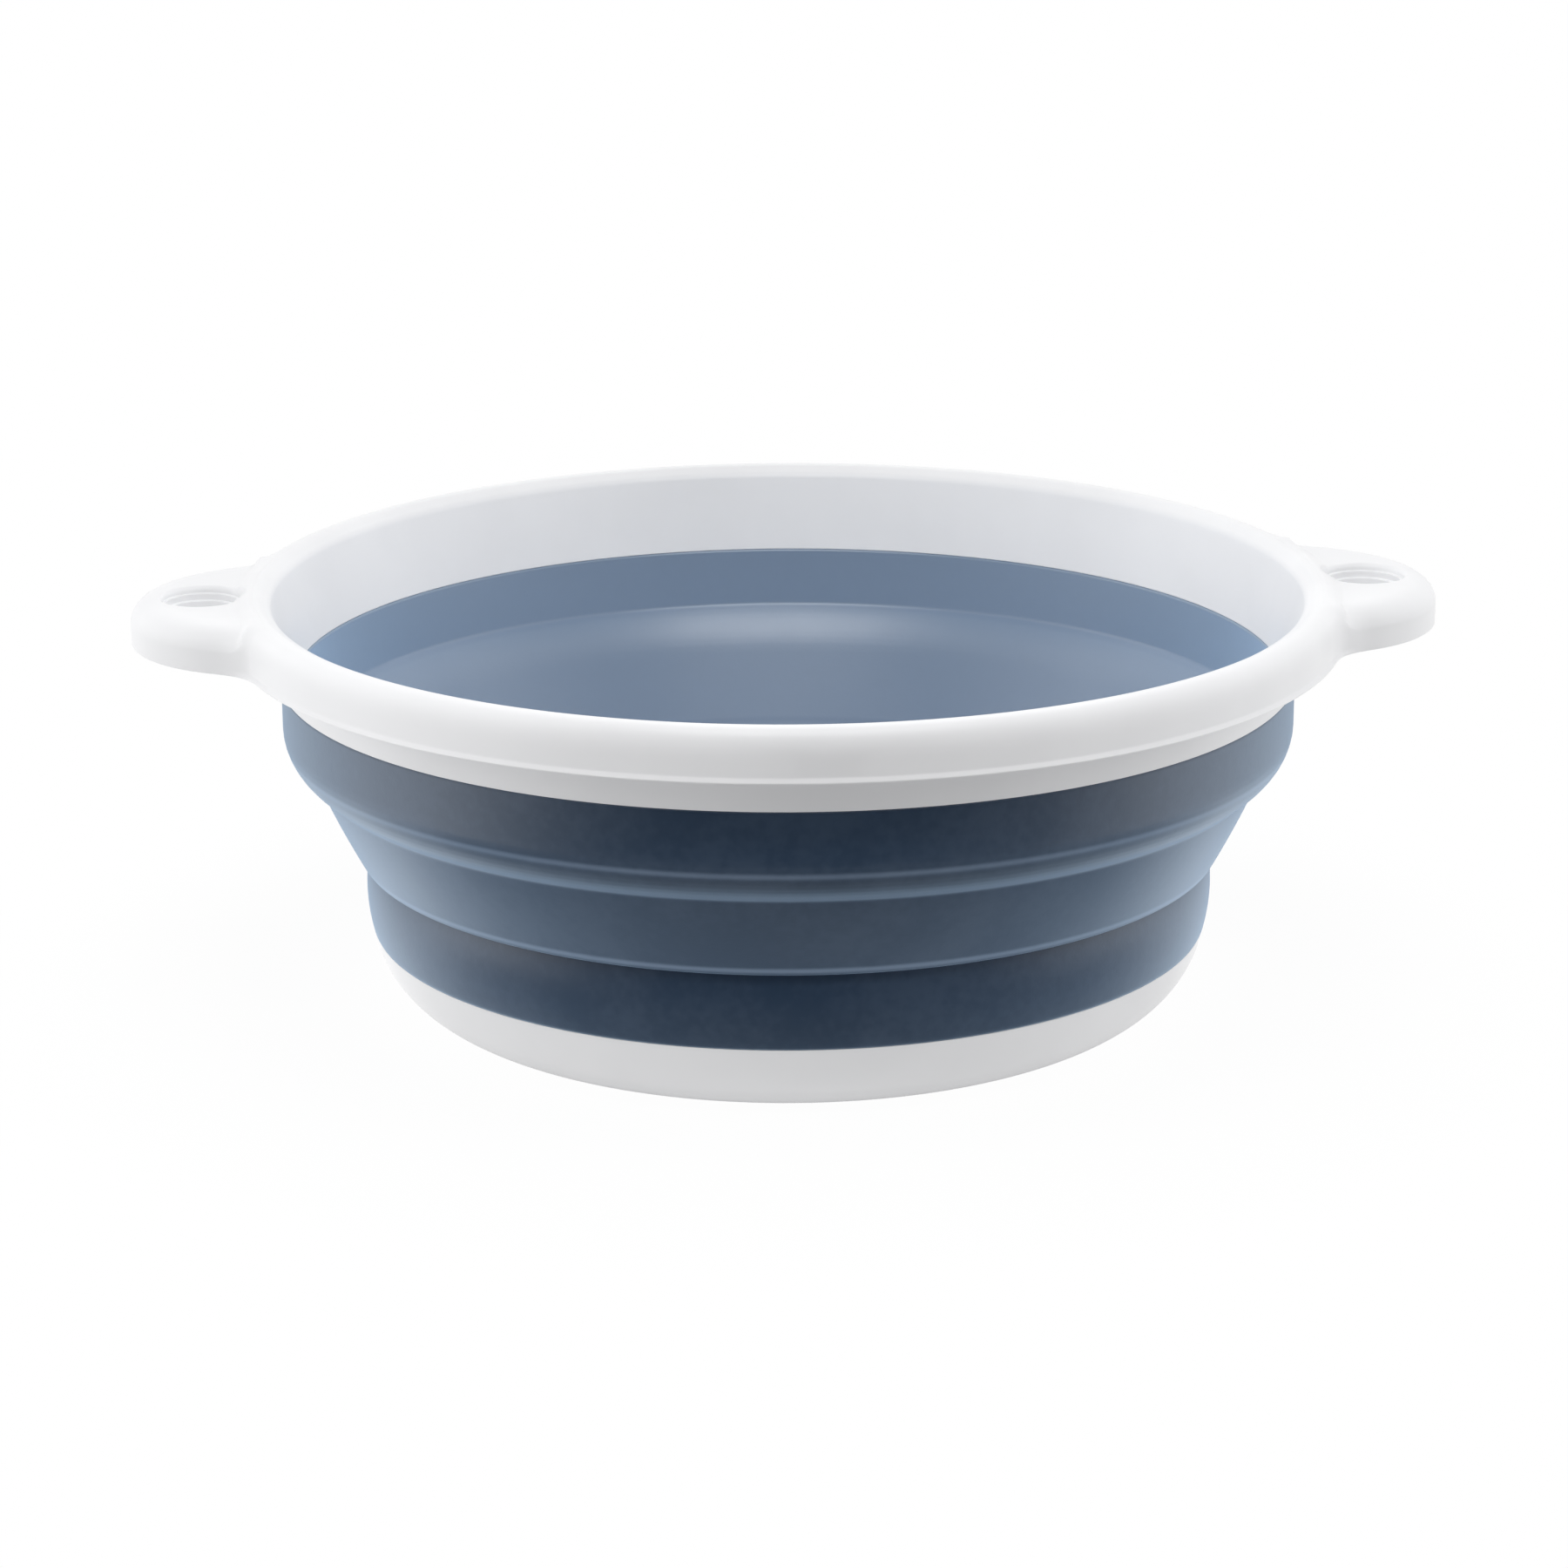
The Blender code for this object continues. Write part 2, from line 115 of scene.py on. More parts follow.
# The sky: where each of its parts starts and is full, as the Y or the Z of a direction
SKY_SIDES, SKY_BEHIND = (-0.6, 0.15), (0.25, 0.75)
GROUND_SIDES, GROUND_BEHIND = (-0.90, -0.30), (0.10, 0.70)
GLOSS_SIDES, GLOSS_BEHIND = (-0.72, 0.10), (0.3, 0.9)
HORIZON = (-0.10, 0.05)
SKY_HIGH, GLOSS_HIGH = (0.20, 0.50), (0.50, 0.85)
TOP_SIDES = (-0.90, -0.30)
OVERHEAD = (0.60, 0.90)

LAMP_PLACE = (0, -0.48, 1.06)
LAMP_SIZE = (0.8, 0.6)
SENSOR_WIDTH = 36
CLIP_NEAR, CLIP_FAR = 0.01, 100


def length(name, description, default):
    """A size that shows in the scene's length unit."""
    return bpy.props.FloatProperty(
        name=name, description=description, default=default, unit="LENGTH", precision=4
    )


def angle(name, description, degrees):
    """An angle, given in degrees."""
    return bpy.props.FloatProperty(
        name=name, description=description, default=math.radians(degrees), unit="ROTATION"
    )


def colour(name, description, default):
    """A colour swatch."""
    return bpy.props.FloatVectorProperty(
        name=name, description=description, default=default, subtype="COLOR", size=3, min=0, max=1
    )


def share(name, description, default):
    """A number from 0 to 1."""
    return bpy.props.FloatProperty(
        name=name, description=description, default=default, subtype="FACTOR", min=0, max=1
    )


def number(name, description, default):
    """A plain number."""
    return bpy.props.FloatProperty(name=name, description=description, default=default)


class BasinRimSizes(bpy.types.PropertyGroup):
    """Sizes of the moulded rim and its handles."""

    crest_inset: length("Crest inset", "From the roll's outer edge in to the top of the crest", 0.0058)
    crest_sink: length("Crest sink", "How far the top of the crest lies under the frame's top", 0.0010)
    crest_rounding: length("Crest rounding", "Rounding of the corner between the inner wall and the crest", 0.0034)
    crest_easing: length("Crest easing", "Rounding where the crest levels out", 0.0040)
    crest_flat: length("Crest flat", "Width of the crest's level part", 0.0012)
    inner_foot: length("Inner foot", "Radius of the inner wall at the seam", 0.1409)
    inner_head: length("Inner head", "Radius of the corner between the inner wall and the crest", 0.1470)
    inner_drop: length("Inner drop", "How far that corner lies under the crest", 0.0023)
    roll_depth: length("Roll depth", "Height of the curved part of the roll", 0.0085)
    roll_fullness: number("Roll fullness", "2 makes the roll's curve an ellipse, more makes it fuller", 2.5)
    handle_fullness: number("Handle fullness", "The same for the rounding round the handle's top", 2.2)
    roll_drop: length("Roll drop", "From the frame's top down to the lip", 0.0151)
    lip_bead: length("Lip bead", "How far the bead along the lip stands out of the rim's side", 0.0007)
    bead_height: length("Bead height", "Height of the bead along the lip", 0.0012)
    lip_edge: length("Lip edge", "Rounding of the bead and the lip", 0.0003)
    thickness: length("Plastic thickness", "Wall thickness of the roll and the handles", 0.0024)
    skirt_lean: length("Skirt lean", "How far the skirt leans out up to the lip's level", 0.0024)
    skirt_edge: length("Skirt edge", "Rounding at the skirt's bottom edge", 0.0003)
    handle_radius: length("Handle radius", "Radius of the handle's round end", 0.0425)
    handle_fillet: length("Handle fillet", "Size of the fillet between the handle and the roll", 0.0045)
    handle_drop: length("Handle drop", "How far the handle's top lies under the crest", 0.0025)
    handle_edge: length("Handle edge", "Width of the rounding round the handle's top", 0.0080)
    hole_inset: length("Hole inset", "From the handle's tip to the middle of the hanging hole", 0.0202)
    hole_radius: length("Hole radius", "Radius of the hanging hole's mouth", 0.0112)
    hole_edge: length("Hole edge", "Rounding of the hanging hole's mouth", 0.0015)
    ledge_width: length("Ledge width", "Width of each ledge inside the hanging hole", 0.0008)
    ledge_depth: length("Ledge depth", "Height between the ledges inside the hanging hole", 0.0019)
    sleeve_wall: length("Sleeve wall", "Thickness of the sleeve round the hanging hole", 0.0016)
    sleeve_short: length("Sleeve short", "How far the sleeve ends above the lip", 0.0012)


class BasinWallSizes(bpy.types.PropertyGroup):
    """Sizes of the folding rubber wall."""

    thickness: length("Wall thickness", "Thickness of the rubber between the folds", 0.0030)
    seam_recess: length("Seam recess", "How far the rubber stands back under the rim", 0.0002)
    tongue: length("Tongue", "How far the rubber reaches into the plastic at both seams", 0.0008)
    curl_level: length("Curl level", "Height over the upper fold where the upper band would turn in", 0.0030)
    curl_rounding: length("Curl rounding", "Rounding of the upper band's turn inwards", 0.0147)
    fold_radius: length("Fold radius", "Radius of the outer crease at the upper fold", 0.13577)
    fold_drop: length("Fold drop", "How far the outer crease lies under the upper fold", 0.0040)
    fold_rounding: length("Fold rounding", "Rounding of the outer crease", 0.00255)
    cone_foot: length("Cone foot", "Radius of the cone's bottom edge", 0.12393)
    cone_drop: length("Cone drop", "How far the cone's bottom edge lies under the lower fold", 0.0002)
    cone_bulge: length("Cone bulge", "How far the cone bulges out between the folds", 0.00034)
    cone_edge: length("Cone edge", "Rounding of the cone's bottom edge", 0.0009)
    band_top: length("Band top", "Radius of the lower band where it turns out under the cone", 0.12127)
    band_drop: length("Band drop", "How far the lower band's top lies under the cone's bottom edge", 0.0009)
    band_bulge: length("Band bulge", "How far the lower band bulges out", 0.0012)
    crease_radius: length("Crease radius", "Radius of the inner crease", 0.1385)
    crease_level: length("Crease level", "Height of the inner crease above the upper fold", 0.0062)
    crease_rounding: length("Crease rounding", "Rounding of the inner crease", 0.0022)
    knee_radius: length("Knee radius", "Radius where the inside bends under the crease", 0.1322)
    knee_rounding: length("Knee rounding", "Rounding of that bend", 0.0400)
    inner_seam: length("Inner seam", "Radius of the wall's inside at the rim's seam", 0.1409)
    mesh_spacing: length("Mesh spacing", "Largest height of the wall's mesh rows", 0.0009)
    foot_out: length("Foot out", "How far the lower band stands out of the base at the seam", 0.0003)
    foot_edge: length("Foot edge", "Rounding of the lower band's bottom edge", 0.0006)


class BasinBaseSizes(bpy.types.PropertyGroup):
    """Sizes of the moulded base."""

    foot_inset: length("Foot inset", "From the seam's radius in to the foot ring", 0.0172)
    bulge: length("Bulge", "How far the base's side bulges out between the foot and the seam", 0.0038)
    thickness: length("Base thickness", "Thickness of the base's side", 0.0033)
    floor_thickness: length("Floor thickness", "Thickness of the floor", 0.0026)
    floor_rounding: length("Floor rounding", "Rounding between the floor and the side, inside", 0.0060)
    ring_width: length("Ring width", "Width of the flat foot ring", 0.0080)
    ring_depth: length("Ring depth", "How far the floor's underside lies above the foot ring", 0.0012)
    edge: length("Edge", "Rounding of the edges at the foot and the seam", 0.0006)
    mesh_spacing: length("Mesh spacing", "Largest length of the base's mesh rows", 0.0040)


class BasinFinish(bpy.types.PropertyGroup):
    """Colours and surface of the plastic and the rubber."""

    plastic: colour("Plastic", "Colour of the moulded plastic", (0.863, 0.866, 0.879))
    plastic_shade: colour("Plastic shade", "Faintly duller colour in the plastic's clouding", (0.833, 0.836, 0.850))
    plastic_roughness: share("Plastic roughness", "Roughness of the plastic", 0.30)
    plastic_gloss: share("Plastic gloss", "Strength of the plastic's plain reflection", 0.20)
    plastic_cloud: length("Plastic cloud", "Size of the faint clouds in the plastic", 0.0450)
    # One rubber in two colours: the outside colour is painted darker as shade, and the inside colour paler as light
    rubber: colour("Rubber", "Colour of the rubber outside", (0.007, 0.032, 0.080))
    rubber_inside_painted_light: colour("Rubber inside", "Colour of the rubber inside, which is paler", (0.178, 0.246, 0.350))
    # Pale colour of the random clouds of bloom, and of the painted highlights and the painted light on the cone
    bloom_and_painted_light: colour("Rubber bloom", "Colour of the rubber's pale bloom", (0.150, 0.215, 0.320))
    rubber_roughness: share("Rubber roughness", "Roughness of the rubber", 0.35)
    rubber_gloss: share("Rubber gloss", "Strength of the rubber's plain reflection", 1.0)
    grain: length("Grain", "Size of the rubber's fine grain", 0.0007)
    cloud: length("Cloud", "Size of the faint clouds in the rubber's colour", 0.0220)
    # Painted shade: a darker colour in the crease at the upper fold, and how far down it reaches
    painted_crease_shade: colour("Rubber crease", "Colour of the rubber at the upper fold", (0.002, 0.018, 0.052))
    crease_shade_low: length("Crease low", "How far that colour reaches down from the upper fold", 0.0046)
    cloud_bloom: share("Cloud bloom", "Strength of the pale bloom in the clouds", 0.09)
    # Painted light: a paler tone on the cone, which faces down to the floor
    cone_painted_light: share("Cone bloom", "Strength of the pale bloom on the cone between the folds", 0.11)
    # Painted highlights: pale lines along both folds
    fold_painted_highlight: share("Fold bloom", "Strength of the pale bloom along the folds", 0.60)
    rubber_sheen: share("Rubber sheen", "Strength of the rubber's dusty sheen", 1.0)
    sheen_roughness: share("Sheen roughness", "Roughness of the dusty sheen", 0.50)
    sheen_tint: colour("Sheen tint", "Colour of the dusty sheen", (0.56, 0.76, 1.0))
    # Where the upper painted highlight lies, and how far the painted highlights, the painted light on the cone and the
    # painted crease shade fade in
    highlight_rise: length("Bloom rise", "How far the upper line of bloom lies over the upper fold", 0.0053)
    painted_light_reach: length("Bloom reach", "How far the pale bloom reaches from each fold", 0.0014)


class BasinStage(bpy.types.PropertyGroup):
    """Floor, light and camera."""

    floor: colour("Floor", "Colour of the floor", (0.95, 0.95, 0.95))
    floor_radius: length("Floor radius", "Radius of the floor", 0.26)
    floor_glow: share("Floor glow", "How far the floor is lifted to white for the camera near the basin", 0.95)
    floor_bounce: number("Floor bounce", "Strength of the light that the floor sends up to the basin", 0.95)
    sky_zenith: number("Sky zenith", "Strength of the light from straight above", 0.10)
    sky_top: number("Sky top", "Strength of the light from high all round", 1.45)
    top_front: number("Top front", "Strength of the light from high in front", 0.50)
    sky_side: number("Sky side", "Strength of the light from the sides", 2.65)
    sky_back: number("Sky back", "Strength of the light from behind", 0.60)
    sky_lean: number("Sky lean", "How much stronger the left is than the middle, and the right weaker", 0.08)
    sky_front: number("Sky front", "Strength of the light from the camera's side", 0.0)
    ground_front: number("Ground front", "Strength of the light from beyond the floor's edge in front", 0.20)
    ground_side: number("Ground side", "Strength of the light from beyond the floor's edge at the sides", 1.65)
    ground_back: number("Ground back", "Strength of the light from beyond the floor's edge behind", 0.45)
    gloss_side: number("Gloss side", "Strength of the sides where the basin mirrors them", 1.2)
    gloss_back: number("Gloss back", "Strength of the back where the basin mirrors it", 1.0)
    gloss_floor: number("Gloss floor", "Strength of the floor where the basin mirrors it", 1.3)
    front_light: number("Front light", "Power of the lamp above the camera, in watts", 6.0)
    view_distance: length("View distance", "From the camera to the point it looks at", 1.300)
    view_height: angle("View height", "Angle of the view down from level", 16.656)
    view_turn: angle("View turn", "Angle of the view round the basin", -3.73)
    view_roll: angle("View roll", "Tilt of the camera about its line of sight", -0.218)
    aim: bpy.props.FloatVectorProperty(
        name="Aim",
        description="Point that the camera looks at",
        default=(-0.00057, 0.01048, 0.05634),
        subtype="XYZ",
        unit="LENGTH",
        size=3,
    )
    lens: number("Lens", "Focal length of the camera in millimetres", 102.16)


def rounded(corners):
    """Path through (radius, level, rounding) corners, with an arc at each corner that has a rounding."""
    path = []
    for index, (radius, level, rounding) in enumerate(corners):
        corner = Vector((radius, level))
        if rounding <= 0 or index in (0, len(corners) - 1):
            path.append(tuple(corner))
            continue
        back = (Vector(corners[index - 1][:2]) - corner).normalized()
        ahead = (Vector(corners[index + 1][:2]) - corner).normalized()
        half = back.angle(ahead) / 2
        middle = corner + (back + ahead).normalized() * rounding / math.sin(half)
        start = corner + back * rounding / math.tan(half) - middle
        sweep = start.angle_signed(corner + ahead * rounding / math.tan(half) - middle)
        for step in range(BEND_STEPS + 1):
            turn = -sweep * step / BEND_STEPS
            path.append(tuple(middle + Matrix.Rotation(turn, 2) @ start))
    return path


def straight(start, end, steps):
    """Points after start up to and with end."""
    return [tuple(Vector(start).lerp(Vector(end), step / steps)) for step in range(1, steps + 1)]


def bowed(start, end, bulge, steps):
    """Points along the arc from start to end, which bulges by the given height to the right of its way."""
    start, end = Vector(start), Vector(end)
    across = (end - start).normalized()
    out = Vector((across.y, -across.x))
    half = (end - start).length / 2
    radius = (half * half + bulge * bulge) / (2 * bulge)
    middle = (start + end) / 2 - out * (radius - bulge)
    swing = math.asin(half / radius)
    turns = [swing * (2 * step / steps - 1) for step in range(steps + 1)]
    return [tuple(middle + out * radius * math.cos(t) + across * radius * math.sin(t)) for t in turns]


def spun(path, steps, closed):
    """Bmesh of a path of (radius, level) points turned once round Z. Each vertex keeps its point's number."""
    shape = bmesh.new()
    mark = shape.verts.layers.int.new("ring")
    points = [shape.verts.new((radius, 0, level)) for radius, level in path]
    for index, point in enumerate(points):
        point[mark] = index
    edges = [shape.edges.new(pair) for pair in zip(points, points[1:])]
    if closed:
        edges.append(shape.edges.new((points[-1], points[0])))
    bmesh.ops.spin(
        shape, geom=points + edges, axis=(0, 0, 1), cent=(0, 0, 0), angle=2 * math.pi, steps=steps, use_merge=True
    )
    bmesh.ops.remove_doubles(shape, verts=shape.verts, dist=MERGE_DISTANCE)
    bmesh.ops.recalc_face_normals(shape, faces=shape.faces)
    return shape


def add_piece(name, shape, material):
    """Turns a bmesh into a smooth named object at the origin."""
    mesh = bpy.data.meshes.new(name)
    shape.to_mesh(mesh)
    shape.free()
    mesh.shade_smooth()
    mesh.materials.append(material)
    piece = bpy.data.objects.new(name, mesh)
    bpy.context.scene.collection.objects.link(piece)
    return piece


class Signal:
    """An output in a node tree. Sums and products of signals and numbers add the Math nodes they need."""

    def __init__(self, tree, socket=None):
        self.tree = tree
        self.socket = socket

    def node(self, kind, settings=None, inputs=None, output=0):
        """Adds a node: its settings first, then the values or links of its sockets."""
        made = self.tree.nodes.new(kind)
        for name, value in (settings or {}).items():
            setattr(made, name, value)
        for key, value in (inputs or {}).items():
            if isinstance(value, Signal):
                self.tree.links.new(value.socket, made.inputs[key])
            else:
                made.inputs[key].default_value = value
        return Signal(self.tree, made.outputs[output]) if made.outputs else made

    def math(self, operation, first, second):
        """One Math node."""
        return self.node("ShaderNodeMath", {"operation": operation}, {0: first, 1: second})

    def __add__(self, other):
        return self.math("ADD", self, other)

    def __sub__(self, other):
        return self.math("SUBTRACT", self, other)

    def __mul__(self, other):
        return self.math("MULTIPLY", self, other)

    def __truediv__(self, other):
        return self.math("DIVIDE", self, other)

    def __radd__(self, other):
        return self.math("ADD", other, self)

    def __rsub__(self, other):
        return self.math("SUBTRACT", other, self)

    def __rmul__(self, other):
        return self.math("MULTIPLY", other, self)

    def __pow__(self, other):
        return self.math("POWER", self, other)

    def ramp(self, low, high):
        """0 at low, 1 at high, eased at both ends."""
        return self.node(
            "ShaderNodeMapRange",
            {"interpolation_type": "SMOOTHSTEP"},
            {"Value": self, "From Min": low, "From Max": high},
        )

    def mix(self, first, second):
        """Blends two colours by this signal."""
        made = self.tree.nodes.new("ShaderNodeMix")
        made.data_type = "RGBA"
        self.tree.links.new(self.socket, made.inputs["Factor"])
        for socket, value in ((made.inputs[6], first), (made.inputs[7], second)):
            if isinstance(value, Signal):
                self.tree.links.new(value.socket, socket)
            else:
                socket.default_value = (*value, 1)
        return Signal(self.tree, made.outputs[2])


def new_material(name, shown):
    """Node material with its shader, and a signal to start its graph from."""
    material = bpy.data.materials.new(name)
    material.use_nodes = True
    material.diffuse_color = (*shown, 1)
    return material, material.node_tree.nodes["Principled BSDF"], Signal(material.node_tree)


def noise(start, place, size, detail=2.0):
    """Noise with features of a given size in metres."""
    return start.node("ShaderNodeTexNoise", {}, {"Vector": place, "Scale": 1 / size, "Detail": detail}, "Fac")


def link(start, shader, sockets):
    """Links signals to a shader's sockets."""
    for name, signal in sockets.items():
        start.tree.links.new(signal.socket, shader.inputs[name])


def plastic_material(finish):
    """Satin white moulding with faint clouding and a slightly uneven gloss."""
    material, shader, start = new_material("satin_white_plastic", finish.plastic)
    place = start.node("ShaderNodeTexCoord", output="Object")
    cloud = noise(start, place, finish.plastic_cloud, detail=3.0)
    link(start, shader, {
        "Base Color": cloud.ramp(*PLASTIC_CLOUDS).mix(finish.plastic, finish.plastic_shade),
        "Roughness": (cloud - 0.5) * PLASTIC_UNEVENNESS + finish.plastic_roughness,
    })
    shader.inputs["Specular IOR Level"].default_value = finish.plastic_gloss
    return material


def rubber_material(finish):
    """Matte rubber with a dusty sheen, painted darker outside and paler inside as shade and light on one rubber. Its
    clouds, pale bloom, painted highlights along the folds, painted light on the cone, painted shade in the upper
    crease and grain are fixed to the wall as it lies at rest.
    """
    material, shader, start = new_material("blue_grey_rubber_skin", finish.rubber)
    place = start.node("ShaderNodeAttribute", {"attribute_name": "rest_place"}, output="Vector")
    level = start.node("ShaderNodeSeparateXYZ", {}, {0: place}, "Z")
    cloud = noise(start, place, finish.cloud, detail=3.0)
    fleck = noise(start, place, finish.cloud / FLECKS_PER_CLOUD)
    grain = noise(start, place, finish.grain)
    # Masks of the painted highlights along the upper and the lower fold
    upper = fold_mask(level, UPPER_FOLD_LEVEL + finish.highlight_rise, finish.painted_light_reach)
    lower = fold_mask(level, LOWER_FOLD_LEVEL + finish.painted_light_reach * LOWER_HIGHLIGHT_RISE, finish.painted_light_reach)
    clouded = (cloud * CLOUD_PART + fleck * FLECK_PART).ramp(*RUBBER_CLOUDS)
    foot, head = LOWER_FOLD_LEVEL, UPPER_FOLD_LEVEL
    # Mask of the painted light on the cone between the folds
    cone = level.ramp(foot - finish.painted_light_reach, foot) * (1 - level.ramp(head - 2 * finish.painted_light_reach, head))
    folds = upper + lower * LOWER_HIGHLIGHT_STRENGTH
    # Random pale bloom in the clouds, plus the painted light on the cone and the painted highlights along the folds
    bloom = clouded * finish.cloud_bloom + cone * finish.cone_painted_light + folds * finish.fold_painted_highlight
    inside = start.node("ShaderNodeAttribute", {"attribute_name": "inner_skin"}, output="Fac")
    # Mask of the painted shade in the crease, from under the upper fold up to the painted highlight line above it
    low, high = UPPER_FOLD_LEVEL - finish.crease_shade_low, UPPER_FOLD_LEVEL + finish.highlight_rise
    crease = level.ramp(low, low + finish.painted_light_reach) * (1 - level.ramp(high - 2 * finish.painted_light_reach, high))
    # The inner skin takes the paler colour as painted light and the outer skin the darker one as painted shade
    skin = inside.mix(crease.mix(finish.rubber, finish.painted_crease_shade), finish.rubber_inside_painted_light)
    height = grain * GRAIN_HEIGHT + fleck * FLECK_HEIGHT
    bump = start.node("ShaderNodeBump", {}, {"Strength": BUMP_STRENGTH, "Distance": 1.0, "Height": height})
    link(start, shader, {
        "Base Color": bloom.mix(skin, finish.bloom_and_painted_light),
        "Roughness": (cloud - 0.5) * RUBBER_UNEVENNESS + grain * GRAIN_UNEVENNESS + finish.rubber_roughness,
        "Normal": bump,
    })
    shader.inputs["Specular IOR Level"].default_value = finish.rubber_gloss
    shader.inputs["Sheen Weight"].default_value = finish.rubber_sheen
    shader.inputs["Sheen Roughness"].default_value = finish.sheen_roughness
    shader.inputs["Sheen Tint"].default_value = (*finish.sheen_tint, 1)
    return material


def fold_mask(level, fold, reach):
    """1 along a fold of the wall and 0 away from it."""
    return level.ramp(fold - reach, fold) * (1 - level.ramp(fold, fold + reach))


def fillet_height(first, second, size):
    """Height of the fillet that fills the corner where two surfaces at the given heights or distances cross."""
    nearness = np.clip(1 - np.abs(first - second) / size, 0, 1)
    return nearness * nearness * size / 4


def outline_distances(sizes, radius, angle):
    """Distances outside the round rim and outside one handle, both drawn out by the fillet between them."""
    middle = HANDLE_REACH - sizes.handle_radius
    to_rim = radius - ROLL_RADIUS
    to_handle = np.hypot(radius * np.cos(angle) - middle, radius * np.sin(angle)) - sizes.handle_radius
    fillet = fillet_height(to_rim, to_handle, 2 * sizes.handle_fillet)
    return to_rim - fillet, to_handle - fillet


def outline_radius(sizes, angle, inset):
    """Radius at each angle of the line that runs inset inside the rim's outer edge."""
    low = np.full(len(angle), sizes.inner_foot)
    high = np.full(len(angle), HANDLE_REACH + sizes.handle_edge)
    for _ in range(HALVINGS):
        radius = (low + high) / 2
        inside = np.minimum(*outline_distances(sizes, radius, angle)) < -inset
        low, high = np.where(inside, radius, low), np.where(inside, high, radius)
    return (low + high) / 2


def rim_angles(sizes):
    """Angles of the rim's sections over a quarter turn: even along the handle's edge, then even to Y."""
    middle = HANDLE_REACH - sizes.handle_radius
    reach = sizes.handle_radius + sizes.handle_fillet
    span = math.acos((ROLL_RADIUS**2 + middle**2 - reach**2) / (2 * ROLL_RADIUS * middle))
    dense = np.linspace(0, span, OUTLINE_SAMPLES)
    edge = outline_radius(sizes, dense, np.zeros(len(dense)))
    run = np.hypot(np.diff(edge * np.cos(dense)), np.diff(edge * np.sin(dense)))
    way = np.concatenate([[0], np.cumsum(run)])
    near = np.interp(np.linspace(0, way[-1], HANDLE_STEPS + 1), way, dense)
    far = np.linspace(span, math.pi / 2, FREE_STEPS + 1)
    return np.concatenate([near, far[1:]])


def dome(inset, width, depth, fullness):
    """Height over its foot of a quarter of a full ellipse, from how far in from its outer edge a point lies."""
    return depth * (1 - (1 - np.clip(inset / width, 0, 1)) ** fullness) ** (1 / fullness)


def side_inset(sizes, angle):
    """How far the rim's side stands back behind the bead on its lip, which fades out towards the handles."""
    out = outline_radius(sizes, angle, 0) - ROLL_RADIUS
    faded = np.clip(out / sizes.handle_fillet, 0, 1)
    return sizes.lip_bead * (1 - faded * faded * (3 - 2 * faded))


def top_level(sizes, radius, angle, under):
    """Level of the rim's top skin, or of the underside of it where under is the plastic's thickness."""
    to_rim, to_handle = outline_distances(sizes, radius, angle)
    back = side_inset(sizes, angle) + under
    low = side_top(sizes)
    roll = low + dome(-to_rim - back, sizes.crest_inset - back, sizes.roll_depth - under, sizes.roll_fullness)
    plate_depth = CREST_LEVEL - sizes.handle_drop - low
    edge = sizes.handle_edge - under
    plate = low + dome(-to_handle - under, edge, plate_depth - under, sizes.handle_fullness)
    return np.maximum(roll, plate) + fillet_height(roll, plate, sizes.handle_drop)


def top_rings(sizes, angle, under):
    """Rings of the rim's top skin from the crest out to the top of its side."""
    crest = ROLL_RADIUS - sizes.crest_inset
    end = outline_radius(sizes, angle, side_inset(sizes, angle) + under)
    rings = []
    for step in range(ROLL_STEPS + 1):
        radius = crest + (end - crest) * math.sin(math.pi / 2 * step / ROLL_STEPS)
        rings.append((radius, top_level(sizes, radius, angle, under)))
    return rings


def side_top(sizes):
    """Level where the roll's curve ends and its upright side starts."""
    return CREST_LEVEL - sizes.crest_sink - sizes.roll_depth


def lip_rings(sizes, angle):
    """Rings down the rim's side, over the bead on its lip, round the lip and a little way up inside."""
    lip = CREST_LEVEL - sizes.roll_drop
    height, edge = sizes.bead_height, sizes.lip_edge
    inner = sizes.lip_bead + sizes.thickness
    side = straight((1, side_top(sizes)), (1, lip + height), BEND_STEPS)
    side += [(0, lip + height / 2), (0, lip + height / 4)]
    under = rounded([(0, lip + height / 4, 0), (0, lip, edge), (inner, lip, edge), (inner, lip + height, 0)])
    back = side_inset(sizes, angle)
    rings = [(outline_radius(sizes, angle, part * back), level) for part, level in side]
    rings += [(outline_radius(sizes, angle, inset), level) for inset, level in under[1:]]
    return [(radius, np.full(len(angle), level)) for radius, level in rings]


def rim_rings(sizes, angle):
    """All rings of the rim at the given angles, once round its section."""
    crest = ROLL_RADIUS - sizes.crest_inset
    lip = CREST_LEVEL - sizes.roll_drop
    foot = (sizes.inner_foot + SKIRT_RADIUS) / 2
    under_crest = side_top(sizes)
    top = CREST_LEVEL - sizes.crest_sink
    rise = lip - RIM_SEAM_LEVEL
    lean = sizes.skirt_lean * (under_crest - RIM_SEAM_LEVEL) / rise
    inner = rounded([
        (foot, RIM_SEAM_LEVEL, 0),
        (sizes.inner_foot, RIM_SEAM_LEVEL, sizes.skirt_edge),
        (sizes.inner_head, top - sizes.inner_drop, sizes.crest_rounding),
        (crest - sizes.crest_flat, top, sizes.crest_easing),
        (crest, top, 0),
    ])
    skirt = rounded([
        (SKIRT_RADIUS + lean, under_crest, 0),
        (SKIRT_RADIUS, RIM_SEAM_LEVEL, sizes.skirt_edge),
        (foot, RIM_SEAM_LEVEL, 0),
    ])
    rings = [flat_ring(point, angle) for point in inner[:-1]]
    rings += top_rings(sizes, angle, 0)
    rings += lip_rings(sizes, angle)
    rings += top_rings(sizes, angle, sizes.thickness)[::-1]
    return rings + [flat_ring(point, angle) for point in skirt[:-1]]


def flat_ring(point, angle):
    """A round ring at one level."""
    return np.full(len(angle), point[0]), np.full(len(angle), point[1])


